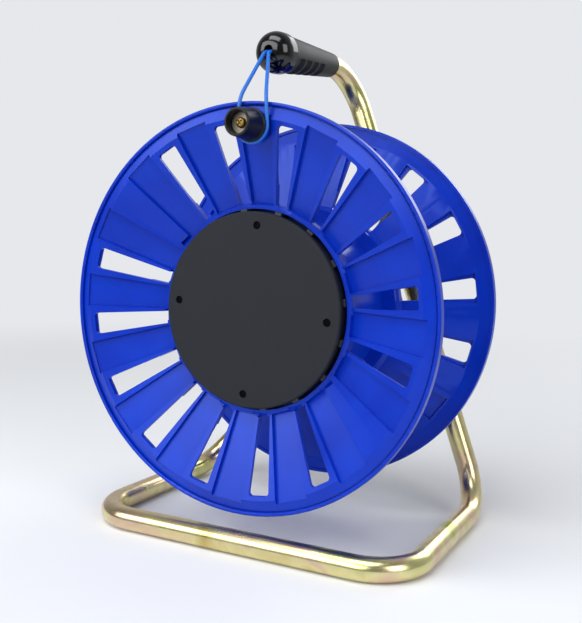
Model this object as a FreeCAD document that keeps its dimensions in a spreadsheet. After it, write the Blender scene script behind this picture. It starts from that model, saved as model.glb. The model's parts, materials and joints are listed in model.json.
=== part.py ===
import FreeCAD, Part
import math
import os
import Sketcher

# Cable winder: an empty cable drum that turns on an axle, carried by a stand bent from one steel tube.
# A grip is pushed on the tube's upper end, and an elastic strap from its cap parks the crank knob.
# Millimetres. +Z is up. The drum's axis lies along Y and its front faces -Y.
# The origin lies on the floor, under the middle of the whole object.
# "Rim plane" is the front of the front flange's rim, and depths are counted back from it.

Vector = FreeCAD.Vector
Rotation = FreeCAD.Rotation
Placement = FreeCAD.Placement

SIZES = [
    # Stand
    ("tube_dia", 19.0, "outside diameter of the stand's tube"),
    ("tube_wall", 2.0, "wall of the stand's tube"),
    ("bend_radius", 40.0, "radius of the tube's bends, on its centre line"),
    ("base_half_width", 141.5, "side bars' centre lines from the drum's axis"),
    ("front_bar_lead", 3.0, "front bar's centre line ahead of the rim plane"),
    ("back_corner_depth", 194.0, "rear corners' centre lines behind the rim plane"),
    ("axle_height", 190.5, "drum's axis above the floor"),
    ("crown_depth", 193.0, "where leg and grip lines meet, behind the rim plane"),
    ("crown_rise", 216.0, "where leg and grip lines meet, above the drum's axis"),
    ("grip_fall", 4.5, "degrees by which the grip's axis falls towards the front"),
    ("tab_thickness", 4.0, "flattened end of the brace"),
    ("tab_width", 27.0, "flattened end of the brace"),
    ("tab_reach", 14.0, "from the brace bolt to the tab's end, and to where the tube starts to widen"),
    ("tab_flare", 24.0, "length over which the round tube turns flat"),
    ("tab_gap", 0.2, "from the tab to the leg behind it"),
    # Grip
    ("grip_start", 45.0, "from the crown to the grip's rear end"),
    ("grip_length", 93.0, "grip, rear end to the cap's seam"),
    ("grip_rear_radius", 10.6, "outside of the grip at its rear end"),
    ("grip_front_radius", 15.5, "outside of the grip at the cap's seam"),
    ("grip_edge", 1.0, "bevel of the grip's rear edge"),
    ("finger_grooves", 4, "hollows under the fingers"),
    ("finger_pitch", 14.0, "from hollow to hollow"),
    ("finger_groove_width", 11.4, "hollow along the grip, at the surface"),
    ("finger_groove_depth", 2.2, "hollow under a finger"),
    ("finger_groove_sweep", 150.0, "degrees round the grip's underside that a hollow reaches"),
    ("finger_groove_lead", 13.0, "from the cap's seam to the middle of the first hollow"),
    ("tube_inset", 3.0, "tube's upper end behind the cap's seam"),
    ("cap_radius", 16.5, "bulb at the grip's front end"),
    ("cap_length", 20.0, "bulb along the grip"),
    ("cap_round", 13.0, "rounding of the bulb's front edge"),
    ("cap_seam_bevel", 0.6, "bevel of the bulb's edge at the seam"),
    ("cap_plug_length", 14.0, "plug in the tube's end"),
    ("hole_width", 7.4, "strap hole"),
    ("hole_height", 9.0, "strap hole"),
    ("hole_depth", 14.0, "strap hole from the cap's front"),
    ("strap_pin_dia", 4.0, "pin that the strap is tied round"),
    ("strap_pin_length", 20.0, "pin across the cap"),
    ("strap_pin_depth", 9.0, "from the cap's front to the pin's axis"),
    # Flanges
    ("drum_dia", 320.0, "outside of both flanges"),
    ("drum_width", 151.7, "front rim plane to rear rim plane"),
    ("bead_width", 3.0, "rounded bead at the rim"),
    ("bead_round", 1.4, "rounding of the bead"),
    ("rim_depth", 7.0, "rim's outer wall, front to back"),
    ("groove_depth", 3.2, "groove inside the bead, below the bead's top"),
    ("groove_width", 0.8, "groove inside the bead"),
    ("cone_foot_depth", 2.2, "outer foot of the ring's cone, below the bead's top"),
    ("cone_width", 8.9, "ring's cone, from its foot to the crest where it meets the dish"),
    ("crest_rise", 0.5, "crest in front of the bead's top"),
    ("dish_angle", 19.6, "degrees by which the dish falls towards the hub"),
    ("sheet_thickness", 3.0, "panels, window frames and hub ring"),
    ("window_count", 16, "sectors in one turn"),
    ("windows_in_row", 7, "windows between two blank sectors"),
    ("panel_overrun", 2.7, "outer end of a sunk panel, past the crest"),
    ("panel_outer_half", 13.8, "half width of a panel at its outer end"),
    ("panel_inner_half", 9.75, "half width of a panel at the collar"),
    ("window_inset", 3.3, "outer end of a window, inside the crest"),
    ("window_outer_half", 9.0, "half width of a window at its outer end"),
    ("window_inner_half", 5.0, "half width of a window at the collar"),
    ("window_round", 3.0, "outer corners of a window"),
    ("window_collar_gap", 0.5, "inner end of a window to the collar"),
    ("relief_lead", 16.0, "from the collar to the hollow behind a window frame"),
    ("relief_outer_half", 12.6, "half width of that hollow at its outer end"),
    ("relief_inner_half", 6.9, "half width of that hollow at its inner end"),
    ("collar_radius", 80.0, "inside of the collar round the hub"),
    ("collar_wall", 4.0, "collar, across its top"),
    ("collar_bevel_width", 12.7, "bevel where a panel meets the collar"),
    ("hub_ring_depth", 33.0, "front of the hub ring, behind the bead's top"),
    ("hub_ring_bore", 69.0, "radius of the hub ring's bore"),
    ("flange_turn", -26.25, "degrees by which the front flange's pattern is turned"),
    ("rear_flange_turn", 131.25, "degrees by which the rear flange's pattern is turned"),
    # Barrel and hub
    ("barrel_radius", 72.0, "outside of the barrel"),
    ("barrel_wall", 3.0, "wall of the barrel"),
    ("boss_circle", 61.0, "radius of the circle of screw bosses in the barrel"),
    ("boss_radius", 5.5, "screw boss in the barrel"),
    ("screw_count", 4, "screws in each circle"),
    ("hub_wall", 3.0, "wall of the hub's cups"),
    ("hub_slack", 0.4, "cup inside the hub ring's bore"),
    ("housing_radius", 77.0, "outside of the housing and of the rear hub's edge"),
    ("housing_floor_depth", 50.0, "back of the housing's floor, behind the rim plane"),
    ("rear_floor_inset", 7.7, "front of the rear hub's floor, ahead of the barrel's end"),
    ("lug_width", 5.5, "lugs round the housing"),
    ("lug_length", 11.0, "lugs round the housing"),
    ("lug_slack", 0.3, "lug to the collar"),
    ("cover_radius", 77.9, "hub cover"),
    ("cover_depth", 14.3, "front of the hub cover, behind the rim plane"),
    ("cover_thickness", 4.0, "hub cover"),
    ("cover_edge", 1.0, "bevel of the cover's front edge"),
    ("cover_circle", 67.1, "radius of the circle of cover screws"),
    ("cover_turn", -4.15, "degrees by which the cover screws are turned"),
    ("cover_boss_radius", 4.5, "boss under each cover screw"),
    ("cover_screw_length", 12.0, "cover screws, under the head"),
    ("rib_count", 8, "ribs in the rear hub"),
    ("rib_height", 8.0, "ribs in the rear hub"),
    # Screws of the drum
    ("screw_dia", 4.0, "screws of the drum"),
    ("screw_length", 16.0, "screws into the barrel, under the head"),
    ("screw_head_dia", 6.0, "head of a drum screw"),
    ("screw_head_height", 1.8, "head of a drum screw"),
    ("screw_sink_slack", 0.2, "recess round a cover screw's head"),
    ("screw_sink_depth", 2.8, "recess for a cover screw's head"),
    # Axle
    ("axle_dia", 12.0, "axle in its bearings"),
    ("axle_thread_dia", 10.0, "axle through the brace"),
    ("axle_clearance", 0.05, "axle to bearing, on the radius"),
    ("axle_play", 0.3, "between the bearings and what holds them along the axle"),
    ("axle_nose", 3.0, "axle in front of its retaining ring"),
    ("axle_tail", 3.0, "axle behind its nut"),
    ("axle_bevel", 1.0, "bevel at the axle's ends"),
    ("axle_shoulder", 12.0, "end of the thick part, ahead of the brace's centre line"),
    ("bush_radius", 9.0, "outside of a bearing bush"),
    ("bush_flange_radius", 12.5, "flange of a bearing bush"),
    ("bush_flange", 2.0, "flange of a bearing bush"),
    ("bush_length", 24.0, "bearing bush behind its flange"),
    ("bush_boss_radius", 13.0, "boss round a bearing bush"),
    ("front_bush_depth", 38.0, "front of the front boss, behind the rim plane"),
    ("rear_boss_rise", 18.0, "rear boss behind the rear hub's floor"),
    ("thrust_washer_radius", 12.0, "washer in front of the front bearing"),
    ("thrust_washer_height", 2.0, "washer in front of the front bearing"),
    ("ring_height", 1.2, "retaining ring"),
    ("ring_radius", 8.5, "retaining ring"),
    ("ring_sink", 0.8, "depth of the retaining ring's groove"),
    ("ring_sweep", 300.0, "degrees round the axle that the ring reaches"),
    ("spacer_dia", 17.0, "sleeve between rear bearing and brace"),
    ("saddle_dia", 18.0, "washer between brace and axle nut"),
    ("saddle_reach", 13.0, "from the brace's centre line to the washer's flat back"),
    ("saddle_start", 4.0, "from the brace's centre line to the ends of sleeve and washer"),
    ("nut_width", 17.0, "axle nut across its flats"),
    ("nut_height", 8.0, "axle nut"),
    ("hole_slack", 0.2, "bolt holes, on the radius"),
    ("brace_bolt_dia", 6.0, "bolt through tab and leg"),
    ("brace_bolt_head", 4.0, "its head"),
    ("brace_nut_width", 10.0, "its nut and head across the flats"),
    ("brace_nut_height", 5.0, "its nut"),
    ("brace_bolt_tail", 2.0, "bolt past its nut"),
    # Crank knob
    ("knob_inset", 5.8, "crank knob's axis, inside the crest"),
    ("knob_panel", 5, "panels from the front flange's first one to the knob's"),
    ("knob_boss_radius", 12.0, "boss under the knob"),
    ("knob_boss_rise", 0.6, "boss in front of the rim plane"),
    ("knob_boss_depth", 9.0, "back of the boss behind the rim plane"),
    ("knob_gap", 0.3, "knob to boss, and knob to washer"),
    ("knob_neck_radius", 11.0, "neck that the strap goes round"),
    ("knob_collar_start", 5.2, "collar's back in front of the rim plane"),
    ("knob_collar_radius", 12.8, "collar in front of the strap"),
    ("knob_collar_height", 2.2, "collar"),
    ("knob_root_radius", 11.8, "body next to the collar"),
    ("knob_tip_radius", 10.6, "body at its tip"),
    ("knob_reach", 26.5, "tip in front of the rim plane"),
    ("knob_tip_bevel", 0.6, "tip's outer edge"),
    ("knob_collar_bevel", 0.6, "collar's front edge"),
    ("knob_hollow_radius", 8.7, "hollow in the tip"),
    ("knob_hollow_depth", 9.3, "hollow in the tip"),
    ("sleeve_radius", 4.0, "sleeve that the knob turns on"),
    ("knob_washer_radius", 8.2, "washer in the hollow"),
    ("knob_washer_height", 1.4, "washer in the hollow"),
    ("knob_screw_dia", 5.0, "screw through the knob"),
    ("knob_head_radius", 3.9, "its head"),
    ("knob_head_height", 2.6, "its head"),
    ("cross_width", 1.1, "cross recess in its head"),
    ("cross_span", 5.0, "cross recess in its head"),
    ("cross_depth", 1.5, "cross recess in its head"),
    ("knob_nut_width", 8.0, "nut behind the boss, across its flats"),
    ("knob_nut_height", 4.0, "nut behind the boss"),
    ("knob_screw_tail", 2.0, "screw behind its nut"),
    # Strap
    ("strap_dia", 3.0, "elastic cord"),
    ("strap_lead", 3.3, "strap's centre line in front of the rim plane"),
    ("strap_slack", 0.3, "strap to the knob's neck"),
    ("strap_rim_rise", 2.2, "strap's centre line above the rim, where it turns down over it"),
    ("strap_exit", 2.0, "strap's bend in front of the cap's hole"),
    ("strap_drop", 0.5, "strap's bend below the hole's middle"),
    ("strap_splay", 1.5, "strap's strands at the rim, inside the width of its loop"),
    ("strand_gap", 3.2, "between the strap's two strands in the hole"),
]

doc = FreeCAD.newDocument("cable_winder")
sheet = doc.addObject("Spreadsheet::Sheet", "Sizes")
for row, (alias, number, meaning) in enumerate(SIZES, start=1):
    sheet.set(f"A{row}", alias)
    sheet.set(f"B{row}", f"{number}")
    sheet.set(f"C{row}", meaning)
    sheet.setAlias(f"B{row}", alias)
doc.recompute()


class Size:
    """A number, with the sheet formula that it comes from."""

    def __init__(self, value, text=None):
        self.value = float(value)
        self.text = text if text else f"({self.value:.6f})"

    def __add__(self, other):
        other = as_size(other)
        return Size(self.value + other.value, f"({self.text} + {other.text})")

    def __sub__(self, other):
        other = as_size(other)
        return Size(self.value - other.value, f"({self.text} - {other.text})")

    def __mul__(self, other):
        other = as_size(other)
        return Size(self.value * other.value, f"({self.text} * {other.text})")

    def __truediv__(self, other):
        other = as_size(other)
        return Size(self.value / other.value, f"({self.text} / {other.text})")

    def __radd__(self, other):
        return as_size(other) + self

    def __rsub__(self, other):
        return as_size(other) - self

    def __neg__(self):
        return as_size(0) - self

    def __float__(self):
        return self.value


def as_size(thing):
    return thing if isinstance(thing, Size) else Size(thing)


def cosine(angle):
    return Size(math.cos(math.radians(angle.value)), f"cos({angle.text})")


def sine(angle):
    return Size(math.sin(math.radians(angle.value)), f"sin({angle.text})")


def tangent(angle):
    return Size(math.tan(math.radians(angle.value)), f"tan({angle.text})")


class Sizes:
    """Each driving dimension under its own name."""


S = Sizes()
for alias, number, meaning in SIZES:
    setattr(S, alias, Size(sheet.get(alias), f"Sizes.{alias}"))

ZERO = Size(0)
tube_radius = S.tube_dia / 2
axle_radius = S.axle_dia / 2
full_turn = Size(360)
pitch = full_turn / S.window_count

half = float(S.base_half_width)
floor_rise = float(tube_radius - S.axle_height)

# The leg leans in from its rear corner, so the bend there reaches back less far than the corner itself.
leg = Vector(-half, float(S.crown_depth - S.back_corner_depth),
             float(S.crown_rise) - floor_rise)
back_turn = leg.getAngle(Vector(0, 1, 0))
bend_loss = float(S.bend_radius) * (math.tan(back_turn / 2) - 1)
rear_reach = S.back_corner_depth + tube_radius - bend_loss

# Depth of the rim plane in the part's own frame: the knob's tip and the stand's rear are equally far out.
rim_plane_y = (S.knob_reach - rear_reach) / 2


def at(side, depth, rise):
    """Point of the part's frame, from the drum's axis and the rim plane."""
    return Vector(float(side), float(rim_plane_y) + float(depth), float(S.axle_height) + float(rise))


def facing_front(side=0.0, depth=0.0, rise=0.0, turn=0.0):
    """Placement with local +Z towards the front, local +Y up, and a turn about that local Z."""
    tilt = Rotation(Vector(1, 0, 0), 90)
    return Placement(at(side, depth, rise), tilt.multiply(Rotation(Vector(0, 0, 1), float(turn))))


# Sketches and features

def new_body(label, placement, separate=False):
    """Body of one sub-part; separate lets it hold several solids."""
    body = doc.addObject("PartDesign::Body", label)
    body.Label = label
    body.AllowCompound = separate
    body.Placement = placement
    return body


def origin_part(body, role):
    return next(part for part in body.Origin.OriginFeatures if part.Role == role)


def new_sketch(body, plane, name, lift=ZERO, slide=ZERO, tilt=ZERO, turn=ZERO):
    """Sketch on an origin plane: lifted off it, slid along X, and turned about Z, then tilted about Y."""
    sketch = body.newObject("Sketcher::SketchObject", f"{body.Name}_{name}")
    sketch.AttachmentSupport = (origin_part(body, plane), [""])
    sketch.MapMode = "FlatFace"
    turned = Rotation(Vector(0, 0, 1), float(turn)).multiply(Rotation(Vector(0, 1, 0), float(tilt)))
    sketch.AttachmentOffset = Placement(Vector(float(slide), 0, float(lift)), turned)
    sketch.setExpression("AttachmentOffset.Base.z", lift.text)
    sketch.setExpression("AttachmentOffset.Base.x", slide.text)
    return sketch


def constrain(sketch, rules):
    """Add (constraint, size) pairs, and bind each size to its formula."""
    numbers = sketch.addConstraint([rule for rule, size in rules])
    for number, (rule, size) in zip(numbers, rules):
        if size is not None:
            sketch.setExpression(f"Constraints[{number}]", size.text)


def pin_point(rules, geometry, position, across, upward):
    """Hold a point of the sketch at its distances from the sketch's origin."""
    origin = (-1, 1)
    for kind, size in (("DistanceX", across), ("DistanceY", upward)):
        rules.append((Sketcher.Constraint(kind, *origin, geometry, position, float(size)), size))


def draw_outline(sketch, corners):
    """Closed outline of straight lines; a corner's third size rounds it."""
    corners = [tuple(as_size(size) for size in corner) for corner in corners]
    points = [Vector(corner[0].value, corner[1].value, 0) for corner in corners]
    count = len(corners)
    starts, ends, arcs = {}, {}, {}
    for index, corner in enumerate(corners):
        starts[index] = ends[index] = points[index]
        if len(corner) < 3:
            continue
        radius = corner[2].value
        back = (points[index - 1] - points[index]).normalize()
        ahead = (points[(index + 1) % count] - points[index]).normalize()
        half = back.getAngle(ahead) / 2
        ends[index] = points[index] + back * (radius / math.tan(half))
        starts[index] = points[index] + ahead * (radius / math.tan(half))
        centre = points[index] + (back + ahead).normalize() * (radius / math.sin(half))
        arcs[index] = (centre, back.cross(ahead).z < 0, radius)
    base = len(sketch.Geometry)
    sketch.addGeometry([Part.LineSegment(starts[index], ends[(index + 1) % count])
                        for index in range(count)])
    rules = []
    for index, corner in enumerate(corners):
        before, after = base + (index - 1) % count, base + index
        if index not in arcs:
            rules.append((Sketcher.Constraint("Coincident", before, 2, after, 1), None))
            pin_point(rules, after, 1, corner[0], corner[1])
            continue
        centre, left_turn, radius = arcs[index]
        first, last = (ends, starts) if left_turn else (starts, ends)
        angles = [math.atan2(*(spot[index] - centre)[1::-1]) for spot in (first, last)]
        arc = sketch.addGeometry(Part.ArcOfCircle(Part.Circle(centre, Vector(0, 0, 1), radius), *angles))
        spot = sketch.addGeometry(Part.Point(points[index]), True)
        pin_point(rules, spot, 1, corner[0], corner[1])
        entry, leave = (1, 2) if left_turn else (2, 1)
        for rule in (
            Sketcher.Constraint("PointOnObject", spot, 1, before),
            Sketcher.Constraint("PointOnObject", spot, 1, after),
            Sketcher.Constraint("Tangent", before, 2, arc, entry),
            Sketcher.Constraint("Tangent", arc, leave, after, 1),
        ):
            rules.append((rule, None))
        rules.append((Sketcher.Constraint("Radius", arc, radius), corner[2]))
    constrain(sketch, rules)


def draw_circle(sketch, across, upward, radius):
    across, upward, radius = as_size(across), as_size(upward), as_size(radius)
    centre = Vector(across.value, upward.value, 0)
    circle = sketch.addGeometry(Part.Circle(centre, Vector(0, 0, 1), radius.value))
    rules = [(Sketcher.Constraint("Radius", circle, radius.value), radius)]
    pin_point(rules, circle, 3, across, upward)
    constrain(sketch, rules)


def extrude(kind, sketch, length, backwards=False):
    """Pad or Pocket of a sketch."""
    body = sketch.getParentGeoFeatureGroup()
    feature = body.newObject(f"PartDesign::{kind}", f"{sketch.Name}_{kind.lower()}")
    feature.Profile = sketch
    feature.setExpression("Length", length.text)
    feature.Reversed = backwards
    return feature


def revolve(sketch, sweep=full_turn):
    """Revolution about the sketch's upright axis."""
    body = sketch.getParentGeoFeatureGroup()
    feature = body.newObject("PartDesign::Revolution", f"{sketch.Name}_turned")
    feature.Profile = sketch
    feature.ReferenceAxis = (sketch, ["V_Axis"])
    feature.setExpression("Angle", sweep.text)
    return feature


def repeat_round(feature, count, sweep=full_turn):
    """Copies of a feature round the body's Z axis."""
    body = feature.getParentGeoFeatureGroup()
    pattern = body.newObject("PartDesign::PolarPattern", f"{feature.Name}_copies")
    pattern.Originals = [feature]
    pattern.Axis = (origin_part(body, "Z_Axis"), [""])
    pattern.setExpression("Angle", sweep.text)
    pattern.setExpression("Occurrences", count.text)
    body.Tip = pattern
    return pattern


def turned_body(label, placement, corners, sweep=full_turn):
    """Body turned from one half outline of (radius, height) corners."""
    body = new_body(label, placement)
    outline = new_sketch(body, "XZ_Plane", "outline")
    draw_outline(outline, corners)
    body.Tip = revolve(outline, sweep)
    return body


# Part primitives

def cylinder(name, radius, height, base=ZERO):
    """Cylinder on local Z."""
    item = doc.addObject("Part::Cylinder", name)
    item.setExpression("Radius", radius.text)
    item.setExpression("Height", height.text)
    item.setExpression("Placement.Base.z", base.text)
    return item


def hexagon(name, across_flats, height, base=ZERO):
    """Six-sided bar on local Z."""
    item = doc.addObject("Part::Prism", name)
    item.Polygon = 6
    item.setExpression("Circumradius", (across_flats / cosine(Size(30)) / 2).text)
    item.setExpression("Height", height.text)
    item.setExpression("Placement.Base.z", base.text)
    return item


def combine(kind, label, base, tool, placement=None):
    """Part::Cut or Part::Fuse of two objects."""
    item = doc.addObject(f"Part::{kind}", label)
    item.Label = label
    item.Base = base
    item.Tool = tool
    if placement:
        item.Placement = placement
    return item


def fixed_shape(label, shape, placement=None):
    """Part::Feature for a form that neither a body nor the primitives give."""
    item = doc.addObject("Part::Feature", label)
    item.Label = label
    item.Shape = shape
    item.Placement = placement if placement else Placement()
    return item


def rounded_path(points, radii):
    """Wire of straight runs joined by tangent arcs, and its length."""
    edges = []
    length = 0.0
    start = points[0]
    for corner, ahead, radius in zip(points[1:-1], points[2:], radii):
        incoming = (corner - start).normalize()
        outgoing = (ahead - corner).normalize()
        turn = incoming.getAngle(outgoing)
        reach = radius * math.tan(turn / 2)
        first, last = corner - incoming * reach, corner + outgoing * reach
        inward = (outgoing - incoming).normalize()
        middle = corner + inward * (radius / math.cos(turn / 2) - radius)
        if (first - start).Length > 1e-6:
            edges.append(Part.LineSegment(start, first).toShape())
            length += (first - start).Length
        edges.append(Part.Arc(first, middle, last).toShape())
        length += radius * turn
        start = last
    edges.append(Part.LineSegment(start, points[-1]).toShape())
    length += (points[-1] - start).Length
    return Part.Wire(edges), length


def sweep_round(points, radii, radius):
    """Round bar along a rounded path; its volume must be section times length."""
    path, length = rounded_path(points, radii)
    section = Part.Wire([Part.Circle(points[0], points[1] - points[0], radius).toShape()])
    bar = path.makePipeShell([section], True, False, 2)
    expected = math.pi * radius ** 2 * length
    if abs(bar.Volume / expected - 1) > 1e-3:
        raise ValueError(f"swept volume {bar.Volume:.1f} is not {expected:.1f}")
    return bar


# Stand: one tube from the grip over the crown, down the leg, round the floor and up the brace

crown = at(0, S.crown_depth, S.crown_rise)
fall = math.radians(float(S.grip_fall))
grip_axis = Vector(0, -math.cos(fall), -math.sin(fall))
right_back = at(half, S.back_corner_depth, floor_rise)
right_front = at(half, -S.front_bar_lead, floor_rise)
left_front = at(-half, -S.front_bar_lead, floor_rise)
left_back = at(-half, S.back_corner_depth, floor_rise)

# The brace crosses behind the drum's axis and its flat tab lies against the leg's front.
forward = leg.cross(Vector(1, 0, 0)).normalize()
if forward.y > 0:
    forward = -forward
tab_offset = float(tube_radius + S.tab_gap + S.tab_thickness / 2)
slope = half / -floor_rise
leg_share = ((slope * (floor_rise + forward.z * tab_offset) - half) / (leg.x - slope * leg.z))
leg_hole = right_back + leg * leg_share
tab_centre = leg_hole + forward * tab_offset
brace_run = Vector(half, forward.z * floor_rise / forward.y, -floor_rise).normalize()
tab_start = tab_centre - brace_run * float(S.tab_reach)
tab_end = tab_centre + brace_run * float(S.tab_reach)
flare_start = tab_start - brace_run * float(S.tab_flare)
brace_line = (flare_start - left_back).normalize()
brace_crossing = left_back + brace_line * ((-left_back.x) / brace_line.x)
brace_depth = Size(brace_crossing.y - float(rim_plane_y))


def flat_section(centre, along, across, normal, half_width, half_height):
    """Outline of the tube, flattened from round to a bar with round edges, as four matching edges."""
    side = across * (half_width - half_height)
    rise = normal * half_height
    mid_rise = math.sqrt(0.5)
    if half_width - half_height < 1e-6:
        corners = [across * (sx * half_width * mid_rise) + normal * (sy * half_width * mid_rise)
                   for sx, sy in ((-1, 1), (1, 1), (1, -1), (-1, -1))]
        middles = [rise, across * half_width, -rise, -across * half_width]
    else:
        corners = [rise - side, rise + side, side - rise, -side - rise]
        middles = [None, across * half_width, None, -across * half_width]
    edges = []
    for index, middle in enumerate(middles):
        first, last = centre + corners[index], centre + corners[(index + 1) % 4]
        if middle is None:
            edges.append(Part.LineSegment(first, last).toShape())
        else:
            edges.append(Part.Arc(first, centre + middle, last).toShape())
    return Part.Wire(edges)


def flattened_end():
    """The brace's upper end: flared from the round tube to a flat tab with a round tip."""
    outside = float(tube_radius)
    across = forward.cross(brace_run).normalize()
    round_across = forward.cross(brace_line).normalize()
    round_normal = brace_line.cross(round_across)
    round_end = flat_section(flare_start, brace_line, round_across, round_normal, outside, outside)
    half_width, half_height = float(S.tab_width) / 2, float(S.tab_thickness) / 2
    flat_end = flat_section(tab_start, brace_run, across, forward, half_width, half_height)
    flare = Part.makeLoft([round_end, flat_end], True, True)
    tab = Part.Face(flat_end).extrude(tab_end - tab_start)
    tip = Part.makeCylinder(half_width, 2 * half_height, tab_centre - forward * half_height, forward)
    edge_box = Part.makeCylinder(half_width, 4 * half_height, tab_centre - forward * half_height * 2, forward)
    keep = edge_box.fuse(Part.Face(flat_section(tab_start, brace_run, across, forward,
                                                half_width * 1.1, half_height * 1.1))
                         .extrude(tab_centre - tab_start))
    return flare.fuse(tab.common(keep)).fuse(tip).removeSplitter()


def build_frame():
    tube_start = crown + grip_axis * float(S.grip_start + S.grip_length - S.tube_inset)
    corners = [tube_start, crown, right_back, right_front, left_front, left_back, flare_start]
    bends = [float(S.bend_radius)] * 5
    outside = sweep_round(corners, bends, float(tube_radius))
    inside = sweep_round(corners, bends, float(tube_radius - S.tube_wall))
    frame = outside.cut(inside).fuse(flattened_end())
    axle_hole = Part.makeCylinder(float(S.axle_thread_dia / 2 + S.hole_slack), 2 * float(S.tube_dia),
                                  brace_crossing - Vector(0, float(S.tube_dia), 0), Vector(0, 1, 0))
    bolt_hole = Part.makeCylinder(float(S.brace_bolt_dia / 2 + S.hole_slack), 3 * float(S.tube_dia),
                                  leg_hole - forward * float(S.tube_dia), forward)
    return frame.cut(axle_hole).cut(bolt_hole).removeSplitter()


fixed_shape("tube_frame", build_frame())

# Grip and cap: local Z runs along the grip towards the front, local X to the right, from the crown

grip_place = Placement(crown, Rotation(Vector(1, 0, 0), Vector(), grip_axis, "ZXY"))
seam = S.grip_start + S.grip_length
grip = turned_body("grip", grip_place, [
    (tube_radius, S.grip_start),
    (S.grip_rear_radius - S.grip_edge / 2, S.grip_start),
    (S.grip_rear_radius, S.grip_start + S.grip_edge),
    (S.grip_front_radius, seam),
    (tube_radius, seam),
])
grip_taper = (S.grip_front_radius - S.grip_rear_radius) / (S.grip_length - S.grip_edge)
for number in range(int(float(S.finger_grooves))):
    hollow = new_sketch(grip, "YZ_Plane", f"finger_{number + 1}")
    middle = seam - S.finger_groove_lead - S.finger_pitch * number
    surface = S.grip_front_radius - grip_taper * (seam - middle)
    half_width = S.finger_groove_width / 2
    slant = S.finger_groove_depth * 0.7
    draw_outline(hollow, [
        (-(surface + 2), middle - half_width), (-(surface + 2), middle + half_width),
        (-surface, middle + half_width), (S.finger_groove_depth - surface, middle + half_width - slant),
        (S.finger_groove_depth - surface, middle - half_width + slant), (-surface, middle - half_width)])
    groove = grip.newObject("PartDesign::Groove", f"finger_groove_{number + 1}")
    groove.Profile = hollow
    groove.ReferenceAxis = (hollow, ["V_Axis"])
    groove.Midplane = True
    groove.setExpression("Angle", S.finger_groove_sweep.text)
    grip.Tip = groove

tube_bore = tube_radius - S.tube_wall
cap_front = seam + S.cap_length
grip_cap = turned_body("grip_cap", grip_place, [
    (0, seam - S.tube_inset - S.cap_plug_length),
    (tube_bore, seam - S.tube_inset - S.cap_plug_length),
    (tube_bore, seam - S.tube_inset),
    (tube_radius, seam - S.tube_inset),
    (tube_radius, seam),
    (S.cap_radius - S.cap_seam_bevel, seam),
    (S.cap_radius, seam + S.cap_seam_bevel),
    (S.cap_radius, cap_front, S.cap_round),
    (0, cap_front),
])
strap_hole = new_sketch(grip_cap, "XY_Plane", "strap_hole", lift=cap_front)
hole_round = S.hole_width * 0.45
hole_half, hole_top = S.hole_width / 2, S.hole_height / 2
draw_outline(strap_hole, [(-hole_half, -hole_top, hole_round), (hole_half, -hole_top, hole_round),
                          (hole_half, hole_top, hole_round), (-hole_half, hole_top, hole_round)])
extrude("Pocket", strap_hole, S.hole_depth)
pin_hole = new_sketch(grip_cap, "YZ_Plane", "pin_hole", lift=-S.strap_pin_length / 2)
draw_circle(pin_hole, 0, cap_front - S.strap_pin_depth, S.strap_pin_dia / 2)
grip_cap.Tip = extrude("Pocket", pin_hole, S.strap_pin_length, backwards=True)

strap_pin = new_body("strap_pin", grip_place)
pin_round = new_sketch(strap_pin, "YZ_Plane", "section", lift=-S.strap_pin_length / 2)
draw_circle(pin_round, 0, cap_front - S.strap_pin_depth, S.strap_pin_dia / 2)
strap_pin.Tip = extrude("Pad", pin_round, S.strap_pin_length)

# Flanges: local Z runs outwards, from the rim plane

drum_radius = S.drum_dia / 2
dish = tangent(S.dish_angle)
bead_start = drum_radius - S.bead_width
cone_foot = bead_start - S.groove_width
crest_radius = cone_foot - S.cone_width
panel_outer = crest_radius + S.panel_overrun
window_outer = crest_radius - S.window_inset
knob_circle = crest_radius - S.knob_inset
collar_outer = S.collar_radius + S.collar_wall
relief_inner = collar_outer + S.relief_lead
hub_ring_back = S.hub_ring_depth + S.sheet_thickness
skirt = S.sheet_thickness * 2 - S.crest_rise


def dish_height(radius, below):
    """Height of a surface that lies below the window frames' front and runs along the dish."""
    return S.crest_rise - below - dish * (crest_radius - radius)


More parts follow.
